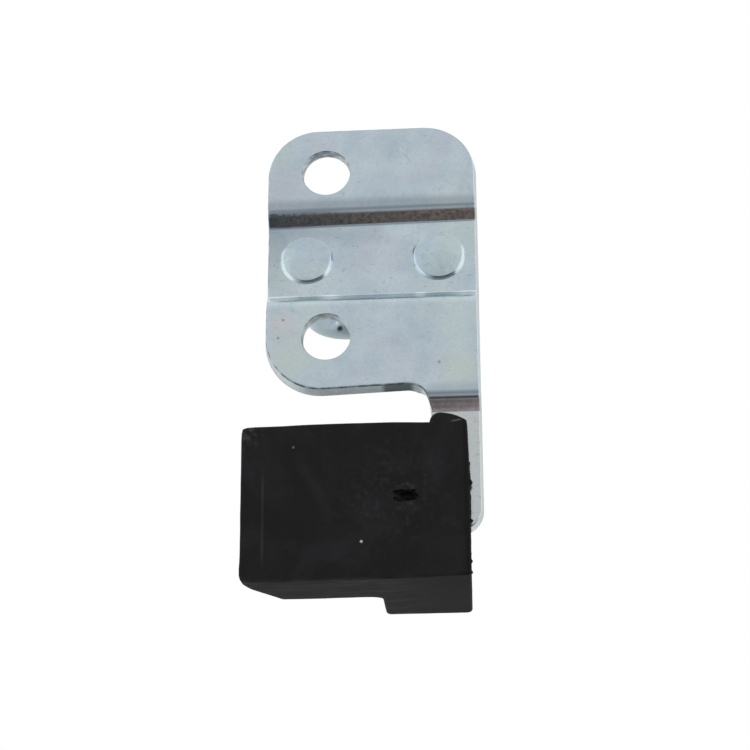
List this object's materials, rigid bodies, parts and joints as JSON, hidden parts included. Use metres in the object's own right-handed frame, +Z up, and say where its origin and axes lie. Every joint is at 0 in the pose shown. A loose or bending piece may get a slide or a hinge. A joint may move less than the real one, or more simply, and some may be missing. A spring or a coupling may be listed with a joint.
{
  "type": "car door lock striker",
  "caption": "Car door lock striker: a folded zinc-plated bracket that bolts to a door post, with a round-rod loop for the latch and a black rubber buffer block moulded on its arm.",
  "frame": {"origin": "on the mounting face, midway between the two bolt holes", "axes": "+X across the bracket towards its arm, +Y away from the mounting face towards the loop, +Z up along the bolt holes"},
  "size_m": [0.0447, 0.0368, 0.0906],
  "materials": {
    "zinc_plate": "bright zinc plating on pressed sheet",
    "zinc_rod": "bright zinc plating on drawn rod",
    "black_rubber": "matt moulded rubber"
  },
  "bodies": {
    "root": {"bracket": "zinc_plate", "striker_loop": "zinc_rod", "buffer_block": "black_rubber"}
  },
  "joints": []
}
